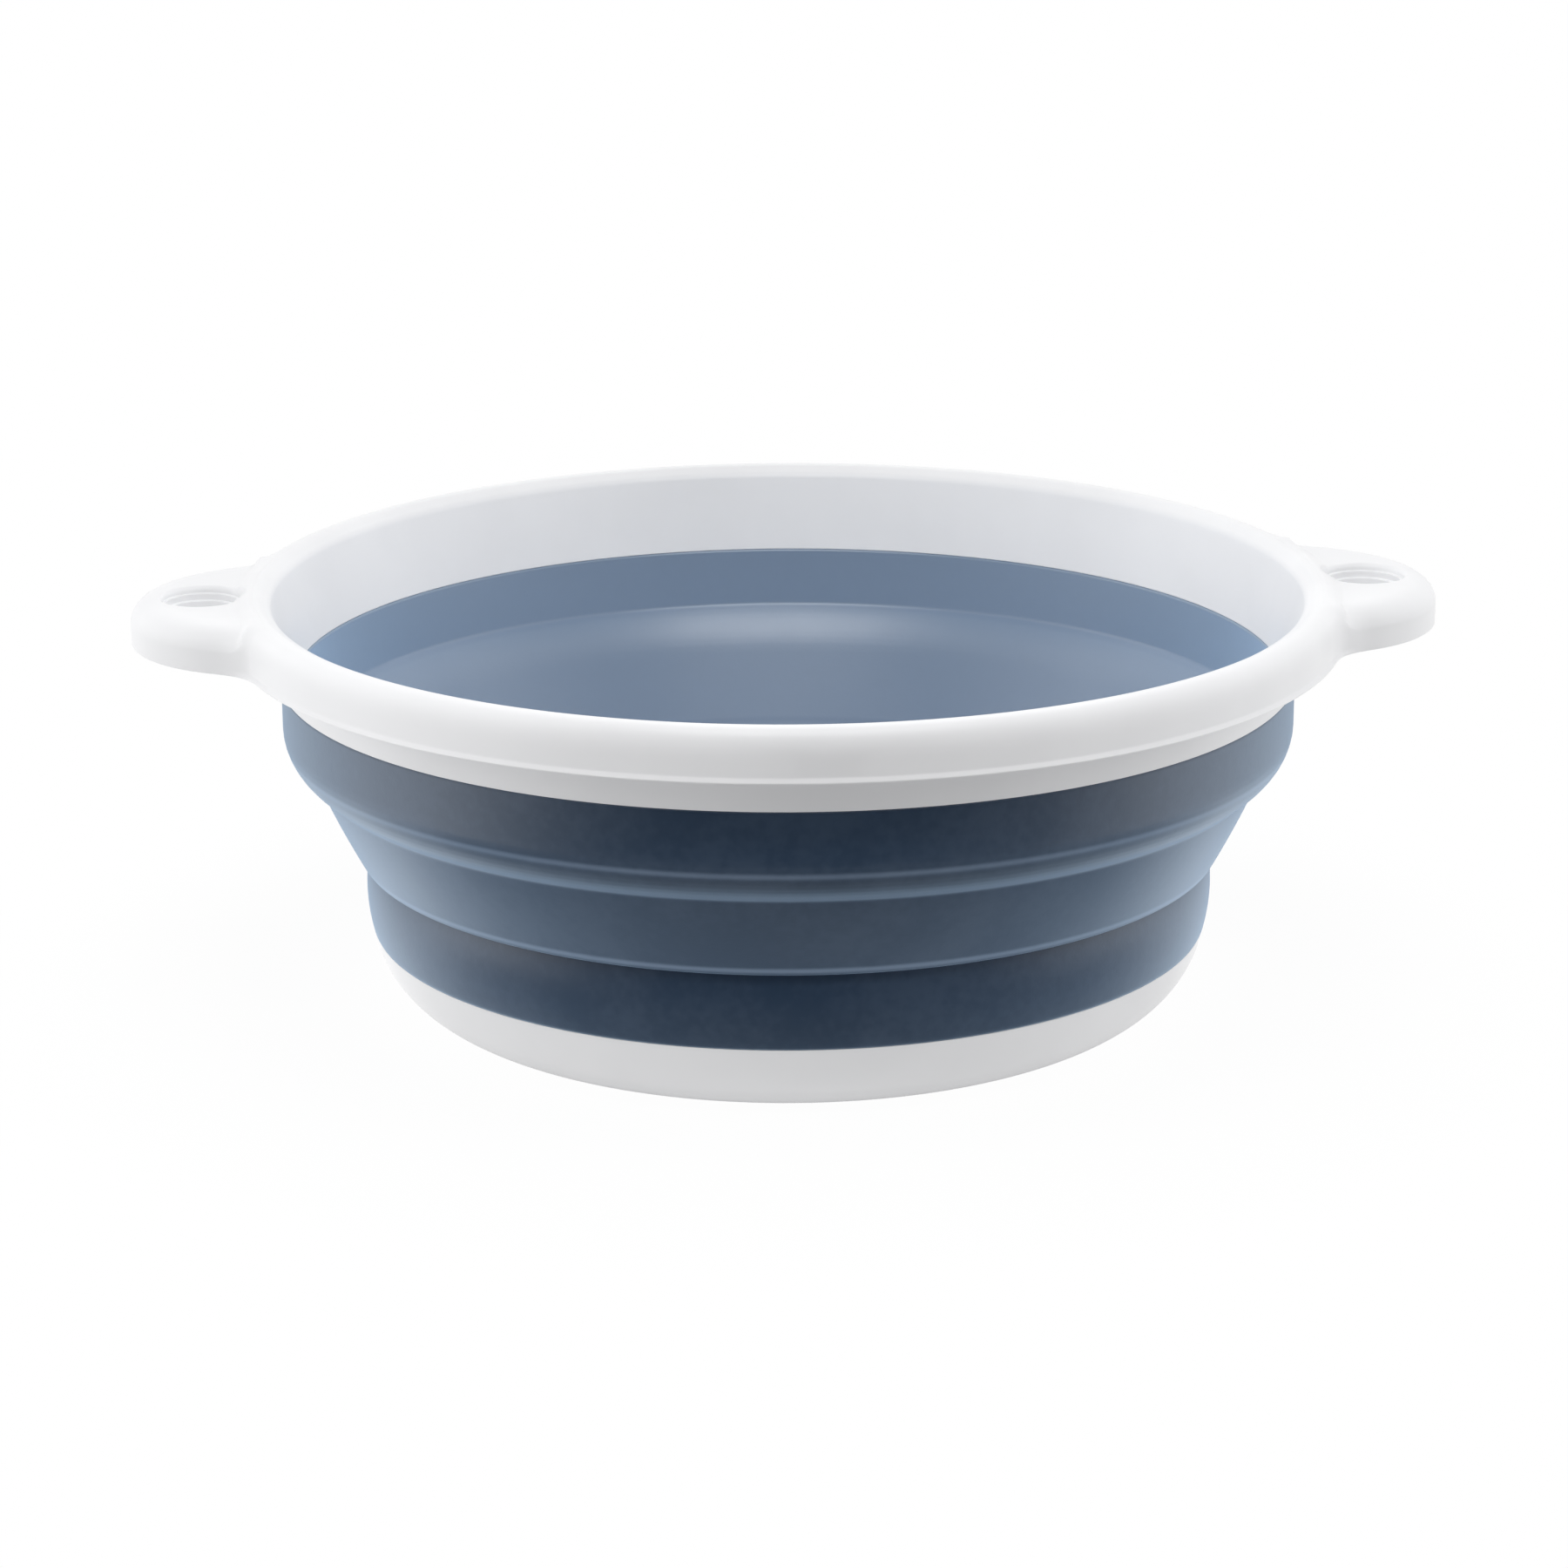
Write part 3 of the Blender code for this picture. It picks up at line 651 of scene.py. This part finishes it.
def rim_shape(sizes):
    """Rim turned round Z in its plain section, then drawn out on both sides into the handles."""
    quarter = rim_angles(sizes)
    rings = rim_rings(sizes, quarter)
    steps = 4 * (len(quarter) - 1)
    shape = spun([(radius[-1], level[-1]) for radius, level in rings], steps, True)
    mark = shape.verts.layers.int["ring"]
    for vertex in shape.verts:
        turn = math.atan2(vertex.co.y, vertex.co.x)
        step = round(abs(turn) / (2 * math.pi) * steps)
        behind = step > steps // 4
        index = steps // 2 - step if behind else step
        angle = math.pi - quarter[index] if behind else quarter[index]
        radius, level = (values[index] for values in rings[vertex[mark]])
        vertex.co = (radius * math.cos(angle), math.copysign(radius * math.sin(angle), turn), level)
    bmesh.ops.recalc_face_normals(shape, faces=shape.faces)
    return shape


def in_order(ring):
    """Vertices of a closed ring of edges, in order round it."""
    left = set(ring)
    order = [ring[0].verts[0]]
    while left:
        edge = next(edge for edge in order[-1].link_edges if edge in left)
        left.remove(edge)
        order.append(edge.other_vert(order[-1]))
    return order[:-1]


def draw_round(vertices, centre, radius):
    """Draws a ring of vertices onto a circle, with their spacing evened out a little."""
    away = np.array([(vertex.co.xy - centre)[:] for vertex in vertices])
    turns = np.unwrap(np.arctan2(away[:, 1], away[:, 0]))
    way = math.copysign(2 * math.pi, turns[-1] - turns[0])
    for _ in range(EVEN_PASSES):
        before = np.roll(turns, 1) - way * (np.arange(len(turns)) == 0)
        after = np.roll(turns, -1) + way * (np.arange(len(turns)) == len(turns) - 1)
        turns = (before + 2 * turns + after) / 4
    for vertex, turn in zip(vertices, turns):
        vertex.co.xy = centre + Vector((math.cos(turn), math.sin(turn))) * radius


def open_skin(shape, centre, radius, lowest, up):
    """Opens a round hole in a level skin and draws its edge onto the circle. Returns the edges round it."""
    shape.normal_update()
    inside = [
        face
        for face in shape.faces
        if face.normal.z * up > LEVEL_FACE
        and face.calc_center_median().z > lowest
        and (face.calc_center_median().xy - centre).length < radius
    ]
    bmesh.ops.delete(shape, geom=inside, context="FACES")
    ring = [edge for edge in shape.edges if edge.is_boundary and (edge.verts[0].co.xy - centre).length < 2 * radius]
    ring = [edge for edge in ring if edge.link_faces[0].normal.z * up > LEVEL_FACE]
    draw_round(in_order(ring), centre, radius)
    return ring


def draw_down(shape, ring, centre, radius, level, hold):
    """Extrudes a ring of edges to a new radius and level. hold keeps that share of its unevenness."""
    made = bmesh.ops.extrude_edge_only(shape, edges=ring)["geom"]
    for vertex in (item for item in made if isinstance(item, bmesh.types.BMVert)):
        out = (vertex.co.xy - centre).normalized() * radius
        vertex.co.xy = centre + out
        vertex.co.z = level[0] + (vertex.co.z - level[1]) * hold
    return [item for item in made if isinstance(item, bmesh.types.BMEdge)]


def bore_path(sizes):
    """Path of the hanging hole from its mouth down over two ledges, under its sleeve and up outside it."""
    plate = CREST_LEVEL - sizes.handle_drop
    bottom = CREST_LEVEL - sizes.roll_drop + sizes.sleeve_short
    radius, edge = sizes.hole_radius, sizes.ledge_width * LEDGE_ROUNDING
    corners = [(radius + 2 * sizes.hole_edge, plate, 0), (radius, plate, sizes.hole_edge)]
    level = plate - sizes.ledge_depth
    for _ in range(2):
        corners += [(radius, level, edge), (radius - sizes.ledge_width, level, edge)]
        radius, level = radius - sizes.ledge_width, level - sizes.ledge_depth
    outside = sizes.hole_radius + sizes.hole_edge + sizes.sleeve_wall
    corners += [(radius, bottom, edge), (outside, bottom, edge), (outside, plate - sizes.thickness, 0)]
    return rounded(corners)[1:-1]


def cut_hole(shape, sizes, side):
    """Opens one hanging hole and lines it with its bore and sleeve."""
    centre = Vector((side * (HANDLE_REACH - sizes.hole_inset), 0))
    plate = CREST_LEVEL - sizes.handle_drop
    path = bore_path(sizes)
    lowest = plate - 2 * sizes.thickness
    outside = sizes.hole_radius + sizes.hole_edge + sizes.sleeve_wall
    ring = open_skin(shape, centre, path[0][0], plate - sizes.thickness / 2, 1)
    roof = open_skin(shape, centre, outside, lowest, -1)
    level = path[0][1]
    for step, (radius, below) in enumerate(path[1:], 1):
        hold = max(0, 1 - step / BEND_STEPS)
        ring = draw_down(shape, ring, centre, radius, (below, level), hold)
        level = below
    bmesh.ops.bridge_loops(shape, edges=ring + roof)


def build_rim(sizes, material):
    """Rim and handles in one moulding."""
    shape = rim_shape(sizes)
    for side in (-1, 1):
        cut_hole(shape, sizes, side)
    bmesh.ops.recalc_face_normals(shape, faces=shape.faces)
    rim = add_piece("rim_and_handles", shape, material)
    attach(rim, "rim")
    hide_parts("rim_with_handles")
    return rim


def wall_outside(sizes):
    """Outer skin of the rubber wall from the rim's seam down to the base's seam."""
    top_radius = SKIRT_RADIUS - sizes.seam_recess
    fold = (sizes.fold_radius, UPPER_FOLD_LEVEL - sizes.fold_drop)
    foot = (sizes.cone_foot, LOWER_FOLD_LEVEL - sizes.cone_drop)
    band_top = (sizes.band_top, foot[1] - sizes.band_drop)
    band_foot = (BASE_RADIUS + sizes.foot_out, BASE_SEAM_LEVEL + sizes.foot_edge)
    upper = rounded([
        (top_radius, RIM_SEAM_LEVEL, 0),
        (top_radius, UPPER_FOLD_LEVEL + sizes.curl_level, sizes.curl_rounding),
        (*fold, sizes.fold_rounding),
        (*foot, 0),
    ])
    cone = bowed(foot, upper[-2], sizes.cone_bulge, 5 * WALL_STEPS)[::-1]
    band = bowed(band_foot, band_top, sizes.band_bulge, 3 * WALL_STEPS)[::-1]
    turn_in = rounded([(*cone[-3], 0), (*foot, sizes.cone_edge), (*band_top, sizes.cone_edge / 3), (*band[1], 0)])
    end = (band_foot[0] - sizes.foot_edge / 2, BASE_SEAM_LEVEL)
    return upper[:-1] + cone[1:-3] + turn_in[:-1] + band[1:] + [end]


def wall_inside(sizes):
    """Inner skin of the rubber wall from the base's seam up to the rim's seam."""
    base_inner = (BASE_RADIUS - sizes.thickness, BASE_SEAM_LEVEL)
    foot = (sizes.band_top - sizes.thickness, LOWER_FOLD_LEVEL - sizes.thickness / 2)
    below = straight(base_inner, foot, 2 * WALL_STEPS)
    cone = rounded([
        (*foot, 0),
        (sizes.knee_radius, UPPER_FOLD_LEVEL, sizes.knee_rounding),
        (sizes.crease_radius, UPPER_FOLD_LEVEL + sizes.crease_level, sizes.crease_rounding),
        (sizes.inner_seam, RIM_SEAM_LEVEL, 0),
    ])
    return [base_inner] + below[:-1] + cone


def keep_place(wall, inside):
    """Stores where each point of the wall lies at rest, and whether it lies on the inner skin."""
    points = np.array([vertex.co for vertex in wall.data.vertices], np.float32)
    places = wall.data.attributes.new("rest_place", "FLOAT_VECTOR", "POINT")
    places.data.foreach_set("vector", points.ravel())
    radii, levels = np.hypot(points[:, 0], points[:, 1]), points[:, 2]
    order = np.argsort([level for _, level in inside])
    skin = np.array(inside)[order]
    near = np.abs(radii - np.interp(levels, skin[:, 1], skin[:, 0]))
    marks = wall.data.attributes.new("inner_skin", "FLOAT", "POINT")
    marks.data.foreach_set("value", (near < SKIN_TOLERANCE).astype(np.float32))


def refined(path, spacing):
    """Adds points so that no stretch of the path is longer than the spacing."""
    full = [path[0]]
    for point in path[1:]:
        gap = (Vector(point) - Vector(full[-1])).length
        full += straight(full[-1], point, max(1, math.ceil(gap / spacing)))
    return full


def tongue(middle, half, root, tip):
    """Path round a tongue, from its root to its tip and back. A negative half starts it on the inner side."""
    return [(middle + half, root), (middle + half, tip), (middle - half, tip), (middle - half, root)]


def build_wall(sizes, material):
    """Rubber wall in one piece from seam to seam between the rim and the base, built as it lies at rest."""
    outside = wall_outside(sizes)
    inside = wall_inside(sizes)
    foot = (outside[-1][0] + inside[0][0]) / 2
    head = (outside[0][0] + inside[-1][0]) / 2
    half = sizes.thickness / 4
    path = outside + tongue(foot, half, BASE_SEAM_LEVEL, BASE_SEAM_LEVEL - sizes.tongue)
    path += inside + tongue(head, -half, RIM_SEAM_LEVEL, RIM_SEAM_LEVEL + sizes.tongue)
    shape = spun(refined(path, sizes.mesh_spacing), TURN_STEPS, True)
    wall = add_piece("folding_wall", shape, material)
    keep_place(wall, inside)
    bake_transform(wall)
    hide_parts("wall_upper_band", "wall_folding_cone", "wall_lower_band")
    return wall


def build_base(sizes, material):
    """Base dish: floor, foot ring and curved side."""
    foot_radius = BASE_RADIUS - sizes.foot_inset
    floor = sizes.ring_depth + sizes.floor_thickness
    side = bowed((foot_radius, 0), (BASE_RADIUS, BASE_SEAM_LEVEL), sizes.bulge, 3 * WALL_STEPS)
    under = rounded([
        (0, sizes.ring_depth, 0),
        (foot_radius - sizes.ring_width - sizes.ring_depth, sizes.ring_depth, sizes.edge),
        (foot_radius - sizes.ring_width, 0, sizes.edge),
        (foot_radius, 0, sizes.edge),
        (*side[1], 0),
    ])
    inner = [(radius - sizes.thickness, level) for radius, level in side[::-1] if level > floor + sizes.floor_rounding]
    rim = rounded([(*side[-2], 0), (*side[-1], sizes.edge / 2), (BASE_RADIUS - sizes.thickness, BASE_SEAM_LEVEL, 0)])
    turn_in = rounded([(*inner[-1], 0), (side[5][0] - sizes.thickness, floor, sizes.floor_rounding), (0, floor, 0)])
    path = under[:-1] + side[1:-2] + rim[:-1] + inner + turn_in[1:]
    shape = spun(refined(path, sizes.mesh_spacing), TURN_STEPS, False)
    base = add_piece("base_dish", shape, material)
    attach(base, "base")
    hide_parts("base_shell")
    return base


def floor_material(stage):
    """Pale floor: white to the camera but for the basin's shadow, and even to mirrored and to diffuse rays."""
    material = bpy.data.materials.new("pale_floor")
    material.use_nodes = True
    tree = material.node_tree
    tree.nodes.clear()
    start = Signal(tree)
    place = start.node("ShaderNodeTexCoord", output="Object")
    away = start.node("ShaderNodeVectorMath", {"operation": "LENGTH"}, {0: place}, "Value")
    seen = start.node("ShaderNodeLightPath", output="Is Camera Ray")
    paint = start.node("ShaderNodeBsdfDiffuse", {}, {"Color": (*stage.floor, 1)})
    glow = start.node("ShaderNodeEmission", {}, {"Color": (1, 1, 1, 1), "Strength": 1.0})
    white = seen * (stage.floor_glow + away.ramp(*FLOOR_FADE) * (1 - stage.floor_glow))
    ahead = start.node("ShaderNodeSeparateXYZ", {}, {0: place}, "Y")
    mirrored = start.node("ShaderNodeLightPath", output="Is Glossy Ray")
    beside = ahead.ramp(*FLOOR_MIRRORED) * stage.gloss_floor
    image = start.node("ShaderNodeEmission", {}, {"Color": (1, 1, 1, 1), "Strength": beside})
    bounced = start.node("ShaderNodeLightPath", output="Is Diffuse Ray")
    bounce = start.node("ShaderNodeEmission", {}, {"Color": (1, 1, 1, 1), "Strength": stage.floor_bounce})
    lit = start.node("ShaderNodeMixShader", {}, {0: bounced, 1: paint, 2: bounce})
    shown = start.node("ShaderNodeMixShader", {}, {0: mirrored, 1: lit, 2: image})
    blend = start.node("ShaderNodeMixShader", {}, {0: white, 1: shown, 2: glow})
    start.node("ShaderNodeOutputMaterial", {}, {"Surface": blend})
    return material


def add_floor(stage):
    """Round floor under the basin."""
    shape = bmesh.new()
    bmesh.ops.create_circle(shape, cap_ends=True, segments=FLOOR_STEPS, radius=stage.floor_radius)
    floor = add_piece("floor", shape, floor_material(stage))


def add_world(stage):
    """White to the camera. The sky that lights the basin, and the one it mirrors, are bright at the sides."""
    world = bpy.data.worlds.new("studio")
    bpy.context.scene.world = world
    world.use_nodes = True
    world.node_tree.nodes.clear()
    start = Signal(world.node_tree)
    way = start.node("ShaderNodeTexCoord", output="Generated")
    back = start.node("ShaderNodeSeparateXYZ", {}, {0: way}, "Y")
    up = start.node("ShaderNodeSeparateXYZ", {}, {0: way}, "Z")
    right = start.node("ShaderNodeSeparateXYZ", {}, {0: way}, "X")
    level = back.ramp(*SKY_SIDES) * (stage.sky_side - stage.sky_front) + stage.sky_front
    level = level + back.ramp(*SKY_BEHIND) * (stage.sky_back - stage.sky_side)
    ground = stage.ground_front + back.ramp(*GROUND_SIDES) * (stage.ground_side - stage.ground_front)
    ground = ground + back.ramp(*GROUND_BEHIND) * (stage.ground_back - stage.ground_side)
    level = level + (1 - up.ramp(*HORIZON)) * (ground - level)
    mirrored = back.ramp(*GLOSS_SIDES) * stage.gloss_side
    mirrored = mirrored + back.ramp(*GLOSS_BEHIND) * (stage.gloss_back - stage.gloss_side)
    glossy = start.node("ShaderNodeLightPath", output="Is Glossy Ray")
    level = (level + glossy * (mirrored - level)) * (1 - right * stage.sky_lean)
    high = up.ramp(*SKY_HIGH) * (1 - glossy) + up.ramp(*GLOSS_HIGH) * glossy
    top = stage.top_front + back.ramp(*TOP_SIDES) * (stage.sky_top - stage.top_front)
    sky = level + high * (top - level)
    sky = sky + up.ramp(*OVERHEAD) * (stage.sky_zenith - sky)
    seen = start.node("ShaderNodeLightPath", output="Is Camera Ray")
    light = start.node("ShaderNodeBackground", {}, {"Color": (1, 1, 1, 1), "Strength": sky})
    plain = start.node("ShaderNodeBackground", {}, {"Color": (1, 1, 1, 1), "Strength": 1.0})
    blend = start.node("ShaderNodeMixShader", {}, {0: seen, 1: light, 2: plain})
    start.node("ShaderNodeOutputWorld", {}, {"Surface": blend})


def add_lamp(name, place, aim, size, power):
    """Soft square lamp that the camera doesn't see."""
    data = bpy.data.lights.new(name, "AREA")
    data.shape = "RECTANGLE"
    data.size, data.size_y = size
    data.energy = power
    lamp = bpy.data.objects.new(name, data)
    lamp.location = place
    lamp.rotation_euler = (Vector(aim) - Vector(place)).to_track_quat("-Z", "Y").to_euler()
    lamp.visible_camera = False
    bpy.context.scene.collection.objects.link(lamp)


def add_camera(stage):
    """Camera of the product view."""
    data = bpy.data.cameras.new("camera")
    data.lens = stage.lens
    data.sensor_width = SENSOR_WIDTH
    data.clip_start, data.clip_end = CLIP_NEAR, CLIP_FAR
    camera = bpy.data.objects.new("camera", data)
    turn = Matrix.Rotation(stage.view_turn, 4, "Z") @ Matrix.Rotation(math.pi / 2 - stage.view_height, 4, "X")
    turn = turn @ Matrix.Rotation(stage.view_roll, 4, "Z")
    back = turn.to_3x3() @ Vector((0, 0, 1))
    camera.matrix_world = Matrix.Translation(Vector(stage.aim) + back * stage.view_distance) @ turn
    bpy.context.scene.collection.objects.link(camera)
    bpy.context.scene.camera = camera


class BASIN_OT_rim(bpy.types.Operator):
    """Model the rim with its two handles and hanging holes"""

    bl_idname = "basin.rim"
    bl_label = "Rim and handles"

    def execute(self, context):
        scene = context.scene
        build_rim(scene.basin_rim, plastic_material(scene.basin_finish))
        return {"FINISHED"}


class BASIN_OT_wall(bpy.types.Operator):
    """Model the folding rubber wall"""

    bl_idname = "basin.wall"
    bl_label = "Folding wall"

    def execute(self, context):
        scene = context.scene
        build_wall(scene.basin_wall, rubber_material(scene.basin_finish))
        return {"FINISHED"}


class BASIN_OT_base(bpy.types.Operator):
    """Model the base dish"""

    bl_idname = "basin.base"
    bl_label = "Base"

    def execute(self, context):
        scene = context.scene
        build_base(scene.basin_base, plastic_material(scene.basin_finish))
        return {"FINISHED"}


class BASIN_OT_stage(bpy.types.Operator):
    """Set up the floor, the soft studio light and the camera"""

    bl_idname = "basin.stage"
    bl_label = "Stage"

    def execute(self, context):
        stage = context.scene.basin_stage
        context.scene.view_settings.view_transform = "Standard"
        add_floor(stage)
        add_world(stage)
        middle = (0, 0, CREST_LEVEL / 2)
        add_lamp("front_lamp", LAMP_PLACE, middle, LAMP_SIZE, stage.front_light)
        add_camera(stage)
        return {"FINISHED"}


class BASIN_PT_panel(bpy.types.Panel):
    """Lists the basin's pieces and settings"""

    bl_label = "Wash Basin"
    bl_idname = "BASIN_PT_panel"
    bl_space_type = "VIEW_3D"
    bl_region_type = "UI"
    bl_category = "Basin"

    def draw(self, context):
        column = self.layout.column()
        for operator in OPERATORS:
            column.operator(operator.bl_idname)
        for name, group in GROUPS.items():
            box = column.box()
            for setting in group.__annotations__:
                box.prop(getattr(context.scene, name), setting)


GROUPS = {
    "basin_rim": BasinRimSizes,
    "basin_wall": BasinWallSizes,
    "basin_base": BasinBaseSizes,
    "basin_finish": BasinFinish,
    "basin_stage": BasinStage,
}
OPERATORS = (BASIN_OT_rim, BASIN_OT_wall, BASIN_OT_base, BASIN_OT_stage)


def register():
    """Registers the settings, operators and panel."""
    for group in GROUPS.values():
        bpy.utils.register_class(group)
    for name, group in GROUPS.items():
        setattr(bpy.types.Scene, name, bpy.props.PointerProperty(type=group))
    for part in (*OPERATORS, BASIN_PT_panel):
        bpy.utils.register_class(part)


def unregister():
    """Removes what register added."""
    for part in (BASIN_PT_panel, *OPERATORS):
        bpy.utils.unregister_class(part)
    for name in GROUPS:
        delattr(bpy.types.Scene, name)
    for group in GROUPS.values():
        bpy.utils.unregister_class(group)


def main():
    """Registers the add-on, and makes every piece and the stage."""
    register()
    for operator in (bpy.ops.basin.rim, bpy.ops.basin.wall, bpy.ops.basin.base, bpy.ops.basin.stage):
        operator()


if __name__ == "__main__":
    main()
